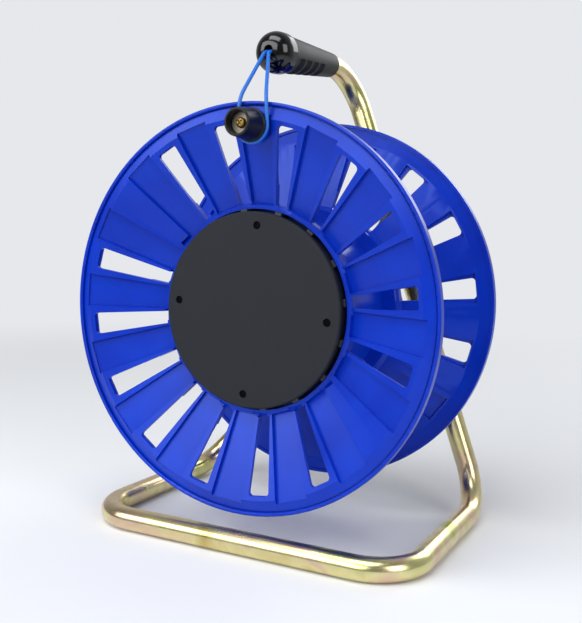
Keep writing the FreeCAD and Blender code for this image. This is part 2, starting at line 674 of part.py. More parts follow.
def flange(label, placement, with_knob_boss):
    """Corrugated dish with sunk panels between raised window frames."""
    back_start = S.collar_radius + S.sheet_thickness * 2
    body = turned_body(label, placement, [
        (S.collar_radius, dish_height(collar_outer, ZERO)),
        (collar_outer, dish_height(collar_outer, ZERO)),
        (crest_radius, S.crest_rise),
        (cone_foot, -S.cone_foot_depth),
        (cone_foot, -S.groove_depth),
        (bead_start, -S.groove_depth),
        (bead_start, 0, S.bead_round),
        (drum_radius, 0, S.bead_round),
        (drum_radius, -S.rim_depth),
        (drum_radius - S.bead_width * 0.8, -S.rim_depth),
        (drum_radius - S.bead_width * 0.8, -skirt),
        (crest_radius, -skirt),
        (back_start, dish_height(back_start, S.sheet_thickness * 2)),
        (S.collar_radius + S.sheet_thickness, -S.hub_ring_depth + 1),
        (S.collar_radius + S.sheet_thickness, -hub_ring_back),
        (S.hub_ring_bore, -hub_ring_back),
        (S.hub_ring_bore, -S.hub_ring_depth),
        (S.collar_radius, -S.hub_ring_depth),
    ])
    along = cosine(S.dish_angle)
    panel_lift = dish_height(ZERO, S.sheet_thickness)
    half_pitch = pitch / 2

    panel = new_sketch(body, "XY_Plane", "panel", lift=panel_lift, tilt=-S.dish_angle)
    draw_outline(panel, [
        (collar_outer / along, -S.panel_inner_half), (panel_outer / along, -S.panel_outer_half),
        (panel_outer / along, S.panel_outer_half), (collar_outer / along, S.panel_inner_half)])
    repeat_round(extrude("Pocket", panel, S.sheet_thickness * 2, backwards=True), S.window_count)

    bevel = new_sketch(body, "XZ_Plane", "bevel", lift=-S.collar_bevel_width / 2)
    bevel_top = dish_height(collar_outer, -S.sheet_thickness)
    bevel_foot = dish_height(collar_outer, S.sheet_thickness)
    draw_outline(bevel, [(collar_outer + 1, bevel_foot), (collar_outer + 1, bevel_top),
                         (S.collar_radius + 1, bevel_top), (S.collar_radius + 1, bevel_foot + 3)])
    repeat_round(extrude("Pocket", bevel, S.collar_bevel_width), S.window_count)

    relief = new_sketch(body, "XY_Plane", "relief", lift=panel_lift, tilt=-S.dish_angle, turn=half_pitch)
    draw_outline(relief, [
        (relief_inner / along, -S.relief_inner_half),
        (window_outer / along, -S.relief_outer_half),
        (window_outer / along, S.relief_outer_half),
        (relief_inner / along, S.relief_inner_half)])
    repeat_round(extrude("Pocket", relief, S.sheet_thickness * 2), S.window_count)

    window = new_sketch(body, "XY_Plane", "window", lift=S.crest_rise, turn=half_pitch)
    inner = collar_outer + S.window_collar_gap
    for side in (1, -1):
        draw_outline(window, [
            (inner * side, -S.window_inner_half * side),
            (window_outer * side, -S.window_outer_half * side, S.window_round),
            (window_outer * side, S.window_outer_half * side, S.window_round),
            (inner * side, S.window_inner_half * side)])
    row_sweep = pitch * (S.windows_in_row - 1)
    repeat_round(extrude("Pocket", window, hub_ring_back), S.windows_in_row, row_sweep)

    if with_knob_boss:
        boss = new_sketch(body, "XY_Plane", "knob_boss", lift=-S.knob_boss_depth)
        draw_circle(boss, knob_across, knob_up, S.knob_boss_radius)
        extrude("Pad", boss, S.knob_boss_depth + S.knob_boss_rise)
        hole = new_sketch(body, "XY_Plane", "knob_hole", lift=S.knob_boss_rise)
        draw_circle(hole, knob_across, knob_up, S.knob_screw_dia / 2 + S.hole_slack)
        body.Tip = extrude("Pocket", hole, S.knob_boss_depth + S.knob_boss_rise)
    return body


knob_local = pitch * S.knob_panel
knob_across, knob_up = knob_circle * cosine(knob_local), knob_circle * sine(knob_local)
knob_world = knob_local + S.flange_turn
knob_place = facing_front(knob_circle * cosine(knob_world), 0, knob_circle * sine(knob_world))
flange("front_flange", facing_front(turn=S.flange_turn), True)
facing_rear = Rotation(Vector(0, -1, 0), float(S.rear_flange_turn)).multiply(Rotation(Vector(1, 0, 0), -90))
flange("rear_flange", Placement(at(0, S.drum_width, 0), facing_rear), False)

# Barrel, clamped between the two hub rings

drum_place = facing_front()
barrel_front = hub_ring_back
barrel_back = S.drum_width - hub_ring_back
rear_ring_back = S.drum_width - S.hub_ring_depth
cup_radius = S.hub_ring_bore - S.hub_slack
cup_bore = cup_radius - S.hub_wall
rear_floor_front = barrel_back - S.rear_floor_inset
quarter = full_turn / S.screw_count
screw_angle = quarter / 2

barrel = new_body("barrel", drum_place)
wall = new_sketch(barrel, "XY_Plane", "wall", lift=-barrel_back)
draw_circle(wall, 0, 0, S.barrel_radius)
draw_circle(wall, 0, 0, S.barrel_radius - S.barrel_wall)
extrude("Pad", wall, barrel_back - barrel_front)
boss = new_sketch(barrel, "XY_Plane", "boss", lift=-rear_floor_front, turn=screw_angle)
boss_root = S.barrel_radius - S.barrel_wall / 2
draw_outline(boss, [(S.boss_circle - S.boss_radius, -S.boss_radius, S.boss_radius * 0.9),
                    (boss_root, -S.boss_radius), (boss_root, S.boss_radius),
                    (S.boss_circle - S.boss_radius, S.boss_radius, S.boss_radius * 0.9)])
repeat_round(extrude("Pad", boss, rear_floor_front - S.housing_floor_depth), S.screw_count)
pilot_depth = S.screw_length - S.hub_wall
for name, lift, backwards in (("front_pilot", -S.housing_floor_depth, False),
                              ("rear_pilot", -rear_floor_front, True)):
    pilot = new_sketch(barrel, "XY_Plane", name, lift=lift, turn=screw_angle)
    draw_circle(pilot, S.boss_circle, 0, S.screw_dia / 2)
    repeat_round(extrude("Pocket", pilot, pilot_depth, backwards=backwards), S.screw_count)

# Hub housing: a cup in the front hub ring, with lugs to the collar and a bearing boss

cover_back = S.cover_depth + S.cover_thickness
housing_floor_front = S.housing_floor_depth - S.hub_wall
front_boss_back = S.front_bush_depth + S.bush_length
housing = turned_body("hub_housing", drum_place, [
    (S.housing_radius - S.hub_wall, -cover_back),
    (S.housing_radius, -cover_back),
    (S.housing_radius, -S.hub_ring_depth),
    (cup_radius, -S.hub_ring_depth),
    (cup_radius, -S.housing_floor_depth),
    (S.bush_boss_radius, -S.housing_floor_depth),
    (S.bush_boss_radius, -front_boss_back),
    (S.bush_radius, -front_boss_back),
    (S.bush_radius, -S.front_bush_depth),
    (S.bush_boss_radius, -S.front_bush_depth),
    (S.bush_boss_radius, -housing_floor_front),
    (cup_bore, -housing_floor_front),
    (cup_bore, -(S.hub_ring_depth - S.hub_wall)),
    (S.housing_radius - S.hub_wall, -(S.hub_ring_depth - S.hub_wall)),
])
lug = new_sketch(housing, "XY_Plane", "lug", lift=-(S.hub_ring_depth - 2), turn=pitch / 2 + S.flange_turn)
lug_out = S.collar_radius - S.lug_slack
draw_outline(lug, [(S.housing_radius - 1, -S.lug_width / 2), (lug_out, -S.lug_width / 2),
                   (lug_out, S.lug_width / 2), (S.housing_radius - 1, S.lug_width / 2)])
repeat_round(extrude("Pad", lug, S.lug_length), S.window_count)
shelf_middle = S.hub_ring_depth - S.hub_wall / 2
post = new_sketch(housing, "XY_Plane", "cover_post", lift=-shelf_middle, turn=quarter + S.cover_turn)
draw_circle(post, S.cover_circle, 0, S.cover_boss_radius)
repeat_round(extrude("Pad", post, shelf_middle - cover_back), S.screw_count)
post_pilot = new_sketch(housing, "XY_Plane", "cover_pilot", lift=-cover_back, turn=quarter + S.cover_turn)
draw_circle(post_pilot, S.cover_circle, 0, S.screw_dia / 2)
repeat_round(extrude("Pocket", post_pilot, S.cover_screw_length), S.screw_count)
floor_hole = new_sketch(housing, "XY_Plane", "floor_hole", lift=-housing_floor_front, turn=screw_angle)
draw_circle(floor_hole, S.boss_circle, 0, S.screw_dia / 2 + S.hole_slack)
repeat_round(extrude("Pocket", floor_hole, S.hub_wall), S.screw_count)

# Cover, with recesses that hide its screws

cover = turned_body("hub_cover", drum_place, [
    (0, -cover_back), (S.cover_radius, -cover_back), (S.cover_radius, -S.cover_depth - S.cover_edge),
    (S.cover_radius - S.cover_edge, -S.cover_depth), (0, -S.cover_depth)])
sink = new_sketch(cover, "XY_Plane", "sink", lift=-S.cover_depth, turn=quarter + S.cover_turn)
draw_circle(sink, S.cover_circle, 0, S.screw_head_dia / 2 + S.screw_sink_slack)
repeat_round(extrude("Pocket", sink, S.screw_sink_depth), S.screw_count)
through = new_sketch(cover, "XY_Plane", "through", lift=-S.cover_depth, turn=quarter + S.cover_turn)
draw_circle(through, S.cover_circle, 0, S.screw_dia / 2 + S.hole_slack)
repeat_round(extrude("Pocket", through, S.cover_thickness), S.screw_count)

# Rear hub: the cup at the drum's back, with ribs from its boss to its wall

rear_edge_back = rear_ring_back + S.hub_wall
rear_floor_back = rear_floor_front + S.hub_wall
rear_boss_back = rear_floor_back + S.rear_boss_rise
rear_boss_front = rear_boss_back - S.bush_length
rear_hub = turned_body("rear_hub", drum_place, [
    (S.housing_radius, -rear_ring_back),
    (S.housing_radius, -rear_edge_back),
    (cup_bore, -rear_edge_back),
    (cup_bore, -rear_floor_back),
    (S.bush_boss_radius, -rear_floor_back),
    (S.bush_boss_radius, -rear_boss_back),
    (S.bush_radius, -rear_boss_back),
    (S.bush_radius, -rear_boss_front),
    (S.bush_boss_radius, -rear_boss_front),
    (S.bush_boss_radius, -rear_floor_front),
    (cup_radius, -rear_floor_front),
    (cup_radius, -rear_ring_back),
])
hub_rib = new_sketch(rear_hub, "XY_Plane", "rib", lift=-rear_floor_back - S.rib_height,
                     turn=full_turn / S.rib_count / 2)
draw_outline(hub_rib, [(S.bush_boss_radius - 1, -S.hub_wall / 2), (cup_bore + 1, -S.hub_wall / 2),
                       (cup_bore + 1, S.hub_wall / 2), (S.bush_boss_radius - 1, S.hub_wall / 2)])
repeat_round(extrude("Pad", hub_rib, S.rib_height + S.hub_wall / 2), S.rib_count)
rear_hole = new_sketch(rear_hub, "XY_Plane", "floor_hole", lift=-rear_floor_front, turn=screw_angle)
draw_circle(rear_hole, S.boss_circle, 0, S.screw_dia / 2 + S.hole_slack)
repeat_round(extrude("Pocket", rear_hole, S.hub_wall), S.screw_count)

# Screws of the drum, each circle of them one node


def screw_circle(label, circle, seat, turn, length, towards_rear):
    """Pan-head screws on a circle, their heads on the seat."""
    way = -1 if towards_rear else 1
    placement = drum_place.multiply(Placement(Vector(), Rotation(Vector(0, 0, 1), float(turn))))
    body = new_body(label, placement, separate=True)
    outline = new_sketch(body, "XZ_Plane", "outline", slide=circle)
    shank, head = S.screw_dia / 2, S.screw_head_dia / 2
    corners = [(0, seat + length * way), (shank, seat + length * way), (shank, seat),
               (head, seat), (head, seat - S.screw_head_height * way), (0, seat - S.screw_head_height * way)]
    draw_outline(outline, corners)
    repeat_round(revolve(outline), S.screw_count)


cover_seat = -(S.cover_depth + S.screw_sink_depth)
screw_circle("cover_screws", S.cover_circle, cover_seat, quarter + S.cover_turn, S.cover_screw_length, True)
screw_circle("housing_screws", S.boss_circle, -housing_floor_front, screw_angle, S.screw_length, True)
screw_circle("rear_hub_screws", S.boss_circle, -rear_floor_back, screw_angle, S.screw_length, False)


# Bearings, axle and what holds it


def bush(label, flange_front, flange_back, sleeve_end):
    """Flanged bearing bush; its sleeve runs from the flange to sleeve_end."""
    bore = axle_radius + S.axle_clearance
    turned_body(label, drum_place, [
        (bore, -flange_front), (S.bush_flange_radius, -flange_front), (S.bush_flange_radius, -flange_back),
        (S.bush_radius, -flange_back), (S.bush_radius, -sleeve_end), (bore, -sleeve_end)])


front_bush_front = S.front_bush_depth - S.bush_flange
rear_bush_back = rear_boss_back + S.bush_flange
bush("front_bearing", front_bush_front, S.front_bush_depth, front_boss_back)
bush("rear_bearing", rear_bush_back, rear_boss_back, rear_boss_front)

thrust_back = front_bush_front - S.axle_play
thrust_front = thrust_back - S.thrust_washer_height
ring_front = thrust_front - S.ring_height
turned_body("thrust_washer", drum_place, [
    (axle_radius, -thrust_back), (S.thrust_washer_radius, -thrust_back),
    (S.thrust_washer_radius, -thrust_front), (axle_radius, -thrust_front)])
ring_bore = axle_radius - S.ring_sink
turned_body("retaining_ring", drum_place, [
    (ring_bore, -thrust_front), (S.ring_radius, -thrust_front),
    (S.ring_radius, -ring_front), (ring_bore, -ring_front)], sweep=S.ring_sweep)

thread_radius = S.axle_thread_dia / 2
shoulder = brace_depth - S.axle_shoulder
saddle_back = brace_depth + S.saddle_reach
axle_end = saddle_back + S.nut_height + S.axle_tail
axle_front = ring_front - S.axle_nose
turned_body("axle", drum_place, [
    (0, -axle_front), (axle_radius - S.axle_bevel, -axle_front), (axle_radius, -axle_front - S.axle_bevel),
    (axle_radius, -ring_front), (ring_bore, -ring_front),
    (ring_bore, -thrust_front), (axle_radius, -thrust_front), (axle_radius, -shoulder),
    (thread_radius, -shoulder), (thread_radius, S.axle_bevel - axle_end),
    (thread_radius - S.axle_bevel, -axle_end), (0, -axle_end)])

# Sleeve and washer on the axle, each with its end cut to the brace's round side

brace_turn = Rotation(Vector(0, 0, 1), brace_line)


def brace_cutter(name):
    """Solid bar where the brace lies, across the axle."""
    bar = cylinder(name, tube_radius, S.tube_dia * 4)
    bar.setExpression("Placement.Base.z", None)
    bar.Placement = Placement(brace_crossing - brace_line * float(S.tube_dia * 2), brace_turn)
    return bar


def saddled(label, radius, bore, front, back):
    """Ring on the axle from front to back depth, cut to the brace."""
    outer = cylinder(f"{label}_outer", radius, back - front)
    inner = cylinder(f"{label}_bore", bore, back - front)
    ring = combine("Cut", f"{label}_ring", outer, inner, facing_front(depth=back))
    combine("Cut", label, ring, brace_cutter(f"{label}_seat"))


spacer_front = rear_bush_back + S.axle_play
saddled("axle_spacer", S.spacer_dia / 2, axle_radius, spacer_front, brace_depth - S.saddle_start)
saddled("saddle_washer", S.saddle_dia / 2, thread_radius, brace_depth + S.saddle_start, saddle_back)
axle_nut = combine("Cut", "axle_nut", hexagon("axle_nut_hex", S.nut_width, S.nut_height),
                   cylinder("axle_nut_thread", thread_radius, S.nut_height),
                   facing_front(depth=saddle_back + S.nut_height))

# Bolt through the leg and the brace's tab: local Z runs forward

bolt_radius = S.brace_bolt_dia / 2
bolt_run = S.tube_dia + S.tab_gap + S.tab_thickness
bolt_turn = Rotation(Vector(0, 0, 1), forward)
bolt_place = Placement(leg_hole - forward * float(tube_radius), bolt_turn)
combine("Fuse", "brace_bolt", hexagon("brace_bolt_hex", S.brace_nut_width, S.brace_bolt_head, -S.brace_bolt_head),
        cylinder("brace_bolt_shank", bolt_radius, bolt_run + S.brace_nut_height + S.brace_bolt_tail), bolt_place)
combine("Cut", "brace_nut", hexagon("brace_nut_hex", S.brace_nut_width, S.brace_nut_height, bolt_run),
        cylinder("brace_nut_thread", bolt_radius, S.brace_nut_height, bolt_run), bolt_place)

# Crank knob: local Z runs to its tip, from the rim plane

knob_base = S.knob_boss_rise + S.knob_gap
hollow_floor = S.knob_reach - S.knob_hollow_depth
collar_front = S.knob_collar_start + S.knob_collar_height
turned_body("crank_knob", knob_place, [
    (S.sleeve_radius + S.axle_clearance, knob_base),
    (S.knob_neck_radius, knob_base),
    (S.knob_neck_radius, S.knob_collar_start),
    (S.knob_collar_radius, S.knob_collar_start),
    (S.knob_collar_radius, collar_front - S.knob_collar_bevel),
    (S.knob_collar_radius - S.knob_collar_bevel, collar_front),
    (S.knob_root_radius, collar_front),
    (S.knob_tip_radius, S.knob_reach - S.knob_tip_bevel),
    (S.knob_tip_radius - S.knob_tip_bevel, S.knob_reach),
    (S.knob_hollow_radius, S.knob_reach),
    (S.knob_hollow_radius, hollow_floor),
    (S.sleeve_radius + S.axle_clearance, hollow_floor),
])
screw_radius = S.knob_screw_dia / 2
washer_base = hollow_floor + S.knob_gap
washer_top = washer_base + S.knob_washer_height
turned_body("knob_sleeve", knob_place, [
    (screw_radius, S.knob_boss_rise), (S.sleeve_radius, S.knob_boss_rise),
    (S.sleeve_radius, washer_base), (screw_radius, washer_base)])
turned_body("knob_washer", knob_place, [
    (screw_radius, washer_base), (S.knob_washer_radius, washer_base),
    (S.knob_washer_radius, washer_top), (screw_radius, washer_top)])
head_top = washer_top + S.knob_head_height
screw_end = S.knob_boss_depth + S.knob_nut_height + S.knob_screw_tail
knob_screw = turned_body("knob_screw", knob_place, [
    (0, -screw_end), (screw_radius, -screw_end), (screw_radius, washer_top),
    (S.knob_head_radius, washer_top), (S.knob_head_radius, head_top, 1.6), (0, head_top)])
for turn in (45, 135):
    cross = new_sketch(knob_screw, "XY_Plane", f"cross_{turn}", lift=head_top, turn=Size(turn))
    draw_outline(cross, [(-S.cross_span / 2, -S.cross_width / 2), (S.cross_span / 2, -S.cross_width / 2),
                         (S.cross_span / 2, S.cross_width / 2), (-S.cross_span / 2, S.cross_width / 2)])
    knob_screw.Tip = extrude("Pocket", cross, S.cross_depth)
combine("Cut", "knob_nut", hexagon("knob_nut_hex", S.knob_nut_width, S.knob_nut_height),
        cylinder("knob_nut_thread", screw_radius, S.knob_nut_height),
        knob_place.multiply(Placement(Vector(0, 0, -float(S.knob_boss_depth + S.knob_nut_height)), Rotation())))

# Strap: out of the cap's hole, over the rim, round the knob's neck and back


def wrap_corners(centre, radius, start, end, count):
    """Corners of a line from start to end that bends round the underside of a circle, tangent to it all the way."""
    angles = []
    for spot, side in ((start, 1), (end, -1)):
        offset = spot - centre
        angles.append(math.atan2(offset.y, offset.x) + side * math.acos(radius / offset.Length))
    first, last = angles
    last += 2 * math.pi if last < first else 0
    step = (last - first) / count
    reach = radius / math.cos(step / 2)
    corners = [first + step * (index + 0.5) for index in range(count)]
    return [centre + Vector(math.cos(angle), math.sin(angle), 0) * reach for angle in corners]


loop_radius = float(S.knob_neck_radius + S.strap_slack + S.strap_dia / 2)
knob_spot = Vector(float(knob_circle * cosine(knob_world)), float(knob_circle * sine(knob_world)), 0)
strap_front = -S.strap_lead
rim_turn = drum_radius + S.strap_rim_rise
hole_mouth = grip_place.multVec(Vector(0, 0, float(cap_front)))
mouth_depth, mouth_rise = hole_mouth.y - float(rim_plane_y), hole_mouth.z - float(S.axle_height)
strand = float(S.strand_gap) / 2
inner_depth = mouth_depth + float(S.strap_pin_depth - S.strap_pin_dia / 2 - S.strap_slack)
outer_depth = mouth_depth - float(S.strap_exit)
outer_rise = mouth_rise - float(S.strap_drop)
reach = loop_radius - float(S.strap_splay)
left_turn = Vector(knob_spot.x - reach, float(rim_turn), 0)
right_turn = Vector(knob_spot.x + reach, float(rim_turn), 0)
loop_points = wrap_corners(knob_spot, loop_radius, left_turn, right_turn, 4)
strap_route = [
    at(-strand, inner_depth, mouth_rise + float(S.strap_drop)),
    at(-strand, outer_depth, outer_rise),
    at(left_turn.x, strap_front, left_turn.y),
    *[at(spot.x, strap_front, spot.y) for spot in loop_points],
    at(right_turn.x, strap_front, right_turn.y),
    at(strand, outer_depth, outer_rise),
    at(strand, inner_depth, mouth_rise + float(S.strap_drop)),
]
strap_radii = []
for before, corner, after in zip(strap_route, strap_route[1:], strap_route[2:]):
    turn = (corner - before).getAngle(after - corner)
    shorter = min((corner - before).Length, (after - corner).Length)
    strap_radii.append(0.45 * shorter / math.tan(turn / 2))
loop_start = 2
for index in range(loop_start, loop_start + len(loop_points)):
    strap_radii[index] = loop_radius
print("strap radii", [round(radius, 1) for radius in strap_radii])
fixed_shape("strap", sweep_round(strap_route, strap_radii, float(S.strap_dia / 2)))

NODES = [
    "tube_frame", "grip", "grip_cap", "strap_pin", "axle", "axle_spacer", "saddle_washer", "axle_nut",
    "brace_bolt", "brace_nut", "thrust_washer", "retaining_ring", "front_flange", "rear_flange", "barrel",
    "hub_housing", "hub_cover", "cover_screws", "housing_screws", "rear_hub", "rear_hub_screws",
    "front_bearing", "rear_bearing", "crank_knob", "knob_sleeve", "knob_washer", "knob_screw", "knob_nut",
    "strap",
]


def check_model():
    """Stop if an object failed, a cut removed nothing, or a sub-part's shape isn't sound."""
    doc.recompute()
    for item in doc.Objects:
        if {"Invalid", "Error"} & set(item.State):
            raise RuntimeError(f"{item.Name} failed: {item.State}")
        if item.TypeId in ("PartDesign::Pocket", "PartDesign::Groove"):
            removed = item.BaseFeature.Shape.Volume - item.Shape.Volume
            if removed < 1.0:
                raise RuntimeError(f"{item.Name} removed only {removed:.3f} mm3")
    for node in NODES:
        shape = doc.getObjectsByLabel(node)[0].Shape
        if shape.isNull() or not shape.isValid() or not shape.Solids:
            raise RuntimeError(f"{node} has no sound shape")


check_model()
print("rim plane y", float(rim_plane_y), "brace depth", float(brace_depth))
os.makedirs("parts", exist_ok=True)
for node in NODES:
    shape = doc.getObjectsByLabel(node)[0].Shape
    shape.exportStep(f"parts/{node}.step")
    print(node, len(shape.Solids), round(shape.Volume))
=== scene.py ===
import json
import logging
import math
from dataclasses import dataclass, field
from enum import Enum

import bpy
from mathutils import Matrix, Vector

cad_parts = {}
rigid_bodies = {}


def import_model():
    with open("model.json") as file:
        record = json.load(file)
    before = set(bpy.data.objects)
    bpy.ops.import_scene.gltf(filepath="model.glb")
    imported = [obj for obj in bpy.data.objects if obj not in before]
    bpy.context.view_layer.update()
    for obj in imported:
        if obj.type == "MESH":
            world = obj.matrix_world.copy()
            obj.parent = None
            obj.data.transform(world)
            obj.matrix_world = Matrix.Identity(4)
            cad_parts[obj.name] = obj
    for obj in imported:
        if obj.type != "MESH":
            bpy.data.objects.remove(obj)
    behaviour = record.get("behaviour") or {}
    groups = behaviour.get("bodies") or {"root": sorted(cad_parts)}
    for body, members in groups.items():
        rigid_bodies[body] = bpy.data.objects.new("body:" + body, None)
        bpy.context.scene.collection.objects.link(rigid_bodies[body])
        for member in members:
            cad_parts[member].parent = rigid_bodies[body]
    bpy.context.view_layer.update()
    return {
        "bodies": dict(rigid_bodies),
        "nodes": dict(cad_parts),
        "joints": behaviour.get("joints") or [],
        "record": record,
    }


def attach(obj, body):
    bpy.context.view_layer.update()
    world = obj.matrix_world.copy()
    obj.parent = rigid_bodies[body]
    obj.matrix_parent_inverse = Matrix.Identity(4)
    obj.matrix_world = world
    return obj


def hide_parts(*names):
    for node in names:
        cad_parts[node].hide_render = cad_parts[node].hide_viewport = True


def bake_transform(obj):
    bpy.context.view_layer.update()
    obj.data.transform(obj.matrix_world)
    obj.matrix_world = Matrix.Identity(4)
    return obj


log = logging.getLogger("cable_winder")

MM = 0.001

# The drum's axis and its front rim plane, in millimetres. The photograph's camera and the strap's
# route are measured from where the two meet.
AXLE_HEIGHT = 190.5
RIM_PLANE_Y = -88.4525

Triple = tuple[float, float, float]


def at(side: float, depth: float, rise: float) -> Vector:
    """Turn a place from the drum's axis and the rim plane into metres.

    Args:
        side: Millimetres to the right of the drum's axis.
        depth: Millimetres behind the front rim plane.
        rise: Millimetres above the drum's axis.

    Returns:
        The point in the frame of the part.
    """
    return Vector((side, RIM_PLANE_Y + depth, AXLE_HEIGHT + rise)) * MM


def linear(code: str) -> tuple[float, float, float, float]:
    """Turn an sRGB hex colour into the linear colour that shaders use.

    Args:
        code: Six hex digits, with or without a leading mark.

    Returns:
        Red, green, blue and an alpha of one.
    """
    code = code.lstrip("#")
    channels = [int(code[place:place + 2], 16) / 255 for place in (0, 2, 4)]
    flat = [c / 12.92 if c <= 0.04045 else ((c + 0.055) / 1.055) ** 2.4 for c in channels]
    return flat[0], flat[1], flat[2], 1.0


def add_node(tree: bpy.types.NodeTree, kind: str, settings: dict | None = None,
             links: dict | None = None) -> bpy.types.Node:
    """Add one node to a material or to the world.

    Args:
        tree: The node tree.
        kind: Blender's name for the node's type.
        settings: Values by input name, or by property name.
        links: Output sockets by the name or number of the input that they feed.

    Returns:
        The new node.
    """
    made = tree.nodes.new(kind)
    for name, value in (settings or {}).items():
        if hasattr(made, name) and name not in made.inputs:
            setattr(made, name, value)
        else:
            made.inputs[name].default_value = value
    for target, source in (links or {}).items():
        tree.links.new(source, made.inputs[target])
    return made


def ramped(tree: bpy.types.NodeTree, pattern: bpy.types.NodeSocket,
           stops: tuple[tuple[float, str], ...]) -> bpy.types.NodeSocket:
    """Turn a grey pattern into colours.

    Args:
        tree: The node tree.
        pattern: Socket of the grey pattern.
        stops: Levels of grey from 0 to 1, rising, each with its hex shade.

    Returns:
        The colour socket.
    """
    ramp = add_node(tree, "ShaderNodeValToRGB", None, {"Fac": pattern})
    elements = ramp.color_ramp.elements
    elements[0].position, elements[0].color = stops[0][0], linear(stops[0][1])
    elements[1].position, elements[1].color = stops[-1][0], linear(stops[-1][1])
    for level, code in stops[1:-1]:
        elements.new(level).color = linear(code)
    return ramp.outputs["Color"]


class Grain(Enum):
    """How a surface was made, as how many times its fine grain is squeezed along X, Y and Z."""

    # An even grain all over, as a spark-eroded mould leaves it.
    SPARKED = (1.0, 1.0, 1.0)
    # Fine lines round an axis along Y, as a lathe leaves them.
    TURNED = (1.0, 9.0, 1.0)


@dataclass(frozen=True)
class Blank:
    """A material in the making: its node tree, its shader and the socket of its object coordinates."""

    material: bpy.types.Material
    tree: bpy.types.NodeTree
    shader: bpy.types.Node
    place: bpy.types.NodeSocket


@dataclass(frozen=True)
class Finish:
    """What every material shares: one shade, a gloss that is hazy in places, and a fine grain.

    The roughness swings by mottle either way, in patches of haze_mm. Real grains are about a tenth of a
    millimetre across. Here grain_mm is several times that, because the render would lose a finer one.
    """

    name: str
    shade: str
    roughness: float
    mottle: float = 0.04
    grain_mm: float = 0.6
    grain_depth: float = 0.05
    grain: Grain = Grain.SPARKED
    metallic: float = 0.0
    ior: float = 1.5
    gloss_level: float = 0.5
    gloss_tint: str = "#ffffff"
    haze_mm: float = 28.0
    relief_mm: float = 0.2

    def start(self) -> Blank:
        """Begin a material with a shader and object coordinates.

        Returns:
            The material in the making.
        """
        made = bpy.data.materials.new(self.name)
        made.use_nodes = True
        made.diffuse_color = linear(self.shade)
        tree = made.node_tree
        shader = tree.nodes["Principled BSDF"]
        shader.inputs["Metallic"].default_value = self.metallic
        if not self.metallic:
            shader.inputs["IOR"].default_value = self.ior
            shader.inputs["Specular IOR Level"].default_value = self.gloss_level
            shader.inputs["Specular Tint"].default_value = linear(self.gloss_tint)
        place = add_node(tree, "ShaderNodeTexCoord")
        return Blank(made, tree, shader, place.outputs["Object"])

    def coloured(self, blank: Blank) -> None:
        """Set the shade, which is the same all over, on the shader's own socket.

        Args:
            blank: The material in the making.
        """
        blank.shader.inputs["Base Color"].default_value = linear(self.shade)

    def roughened(self, blank: Blank) -> None:
        """Give the shader its uneven roughness and its fine grain.

        Args:
            blank: The material in the making.
        """
        haze = add_node(blank.tree, "ShaderNodeTexNoise",
                        {"Scale": 1 / (self.haze_mm * MM), "Detail": 4.0}, {"Vector": blank.place})
        spread = add_node(blank.tree, "ShaderNodeMapRange",
                          {"To Min": self.roughness - self.mottle, "To Max": self.roughness + self.mottle},
                          {"Value": haze.outputs["Fac"]})
        blank.tree.links.new(spread.outputs["Result"], blank.shader.inputs["Roughness"])
        stretch = add_node(blank.tree, "ShaderNodeMapping", {"Scale": self.grain.value},
                           {"Vector": blank.place})
        grain = add_node(blank.tree, "ShaderNodeTexNoise",
                         {"Scale": 1 / (self.grain_mm * MM), "Detail": 2.0},
                         {"Vector": stretch.outputs["Vector"]})
        bump = add_node(blank.tree, "ShaderNodeBump",
                        {"Strength": self.grain_depth, "Distance": self.relief_mm * MM},
                        {"Height": grain.outputs["Fac"]})
        blank.tree.links.new(bump.outputs["Normal"], blank.shader.inputs["Normal"])

    def build(self) -> bpy.types.Material:
        """Make the material.

        Returns:
            The finished material.
        """
        blank = self.start()
        self.coloured(blank)
        self.roughened(blank)
        return blank.material


@dataclass(frozen=True)
class MouldedPolypropylene(Finish):
    """Injection-moulded polypropylene, whose blue drifts where the melt flowed."""

    dark: str = "#0028a6"
    light: str = "#0031b6"
    flow_mm: float = 55.0
    flow_edges: tuple[float, float] = (0.35, 0.65)

    def coloured(self, blank: Blank) -> None:
        """Drift softly between the two blues.

        Args:
            blank: The material in the making.
        """
        flow = add_node(blank.tree, "ShaderNodeTexNoise",
                        {"Scale": 1 / (self.flow_mm * MM), "Detail": 3.0}, {"Vector": blank.place})
        stops = tuple(zip(self.flow_edges, (self.dark, self.light)))
        tone = ramped(blank.tree, flow.outputs["Fac"], stops)
        blank.tree.links.new(tone, blank.shader.inputs["Base Color"])


@dataclass(frozen=True)
class ChromatedZinc(Finish):
    """Yellow-chromated zinc plating, whose thin film breaks the gold into pink and green clouds."""

    cloud_mm: float = 70.0
    stops: tuple[tuple[float, str], ...] = (
        (0.30, "#c6b068"),
        (0.42, "#e2d79f"),
        (0.50, "#dcc0a2"),
        (0.58, "#e4dba2"),
        (0.70, "#babd74"),
    )

    def coloured(self, blank: Blank) -> None:
        """Lay the film's colours in clouds.

        Args:
            blank: The material in the making.
        """
        film = add_node(blank.tree, "ShaderNodeTexNoise",
                        {"Scale": 1 / (self.cloud_mm * MM), "Detail": 3.0, "Distortion": 0.6},
                        {"Vector": blank.place})
        tone = ramped(blank.tree, film.outputs["Fac"], self.stops)
        blank.tree.links.new(tone, blank.shader.inputs["Base Color"])


